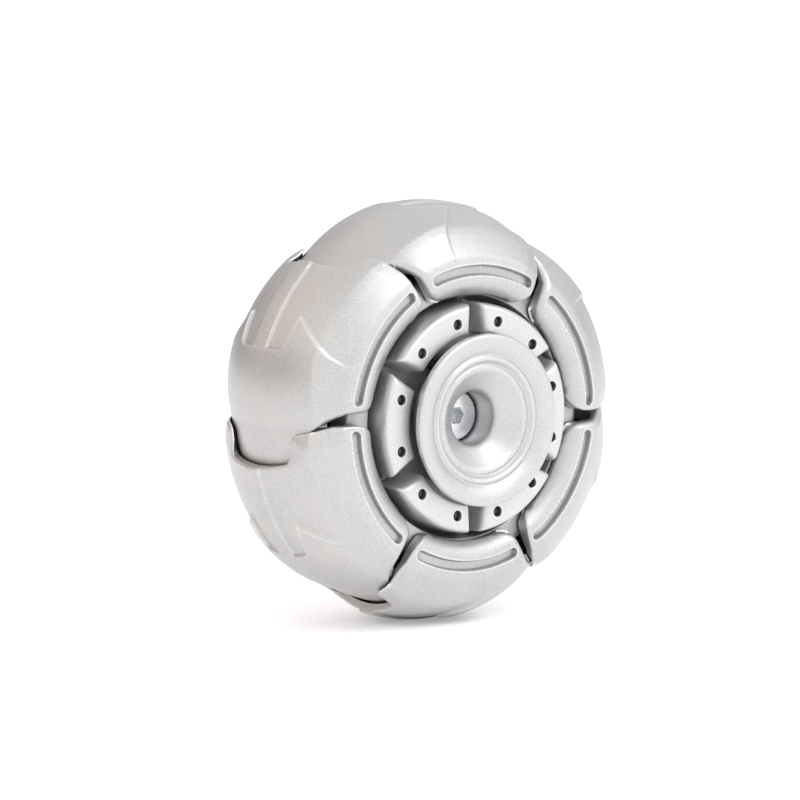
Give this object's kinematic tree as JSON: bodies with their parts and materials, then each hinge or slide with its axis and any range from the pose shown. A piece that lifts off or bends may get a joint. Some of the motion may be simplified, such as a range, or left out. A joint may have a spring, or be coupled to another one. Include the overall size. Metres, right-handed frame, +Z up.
{
  "type": "fidget spinner wheel",
  "caption": "Barrel-shaped silver fidget spinner: bearing hub with thumb buttons, a ring of pin bridges, and overlapping tread shells that swing open on pivot pins.",
  "frame": {"origin": "centre of the wheel, on the bearing's axis and midway between the two button faces", "axes": "+Y along the bearing's axis towards the rear button, +X to the right and +Z up seen from the front"},
  "size_m": [0.048, 0.0266, 0.049],
  "materials": {
    "satin_silver": "bead-blasted cast metal with a fine satin silver coat",
    "turned_silver": "turned metal with a fine satin silver coat",
    "bearing_steel": "ground bearing steel",
    "dark_pin": "black-oxide steel dowel and screw",
    "magnet_nickel": "nickel-plated magnet"
  },
  "bodies": {
    "hub": {"front_button": "turned_silver", "rear_button": "turned_silver", "front_axle_screw": "bearing_steel", "rear_axle_screw": "bearing_steel", "axle_sleeve": "bearing_steel", "bearing_inner_race": "bearing_steel"},
    "cage": {"bearing_cage": "bearing_steel"},
    "wheel": {"bearing_outer_race": "bearing_steel", "front_shield": "bearing_steel", "rear_shield": "bearing_steel", "carrier": "satin_silver", "front_frame": "satin_silver", "rear_frame": "satin_silver", "magnet_ring": "magnet_nickel", "front_frame_screw_1": "dark_pin", "rear_frame_screw_1": "dark_pin", "front_frame_screw_2": "dark_pin", "rear_frame_screw_2": "dark_pin", "front_frame_screw_3": "dark_pin", "rear_frame_screw_3": "dark_pin", "front_bridge_1": "satin_silver", "rear_bridge_1": "satin_silver", "stop_pin_1": "dark_pin", "pivot_pin_1": "dark_pin", "front_bridge_2": "satin_silver", "rear_bridge_2": "satin_silver", "stop_pin_2": "dark_pin", "pivot_pin_2": "dark_pin", "front_bridge_3": "satin_silver", "rear_bridge_3": "satin_silver", "stop_pin_3": "dark_pin", "pivot_pin_3": "dark_pin", "front_bridge_4": "satin_silver", "rear_bridge_4": "satin_silver", "stop_pin_4": "dark_pin", "pivot_pin_4": "dark_pin", "front_bridge_5": "satin_silver", "rear_bridge_5": "satin_silver", "stop_pin_5": "dark_pin", "pivot_pin_5": "dark_pin", "front_bridge_6": "satin_silver", "rear_bridge_6": "satin_silver", "stop_pin_6": "dark_pin", "pivot_pin_6": "dark_pin"},
    "shell_body_1": {"shell_1": "satin_silver", "shell_magnet_1": "magnet_nickel"},
    "shell_body_2": {"shell_2": "satin_silver", "shell_magnet_2": "magnet_nickel"},
    "shell_body_3": {"shell_3": "satin_silver", "shell_magnet_3": "magnet_nickel"},
    "shell_body_4": {"shell_4": "satin_silver", "shell_magnet_4": "magnet_nickel"},
    "shell_body_5": {"shell_5": "satin_silver", "shell_magnet_5": "magnet_nickel"},
    "shell_body_6": {"shell_6": "satin_silver", "shell_magnet_6": "magnet_nickel"}
  },
  "joints": [
    {"name": "wheel_spin", "type": "hinge", "parent": "hub", "child": "wheel", "pos_m": [0, 0, 0], "axis": [0, -1, 0], "continuous": true},
    {"name": "cage_spin", "type": "hinge", "parent": "hub", "child": "cage", "pos_m": [0, 0, 0], "axis": [0, -1, 0], "continuous": true},
    {"name": "shell_swing_1", "type": "hinge", "parent": "wheel", "child": "shell_body_1", "pos_m": [0.00813, 0, 0.00813], "axis": [0, -1, 0], "range_deg": [0, 14], "stiffness_Nm_per_rad": 0.012, "springref_deg": -14.32},
    {"name": "shell_swing_2", "type": "hinge", "parent": "wheel", "child": "shell_body_2", "pos_m": [-0.00298, 0, 0.01111], "axis": [0, -1, 0], "range_deg": [0, 14], "stiffness_Nm_per_rad": 0.012, "springref_deg": -14.32},
    {"name": "shell_swing_3", "type": "hinge", "parent": "wheel", "child": "shell_body_3", "pos_m": [-0.01111, 0, 0.00298], "axis": [0, -1, 0], "range_deg": [0, 14], "stiffness_Nm_per_rad": 0.012, "springref_deg": -14.32},
    {"name": "shell_swing_4", "type": "hinge", "parent": "wheel", "child": "shell_body_4", "pos_m": [-0.00813, 0, -0.00813], "axis": [0, -1, 0], "range_deg": [0, 14], "stiffness_Nm_per_rad": 0.012, "springref_deg": -14.32},
    {"name": "shell_swing_5", "type": "hinge", "parent": "wheel", "child": "shell_body_5", "pos_m": [0.00298, 0, -0.01111], "axis": [0, -1, 0], "range_deg": [0, 14], "stiffness_Nm_per_rad": 0.012, "springref_deg": -14.32},
    {"name": "shell_swing_6", "type": "hinge", "parent": "wheel", "child": "shell_body_6", "pos_m": [0.01111, 0, -0.00298], "axis": [0, -1, 0], "range_deg": [0, 14], "stiffness_Nm_per_rad": 0.012, "springref_deg": -14.32}
  ],
  "couplings": [
    {"joint": "cage_spin", "follows": "wheel_spin", "ratio": 0.587},
    {"joint": "shell_swing_2", "follows": "shell_swing_1", "ratio": 1},
    {"joint": "shell_swing_3", "follows": "shell_swing_1", "ratio": 1},
    {"joint": "shell_swing_4", "follows": "shell_swing_1", "ratio": 1},
    {"joint": "shell_swing_5", "follows": "shell_swing_1", "ratio": 1},
    {"joint": "shell_swing_6", "follows": "shell_swing_1", "ratio": 1}
  ]
}
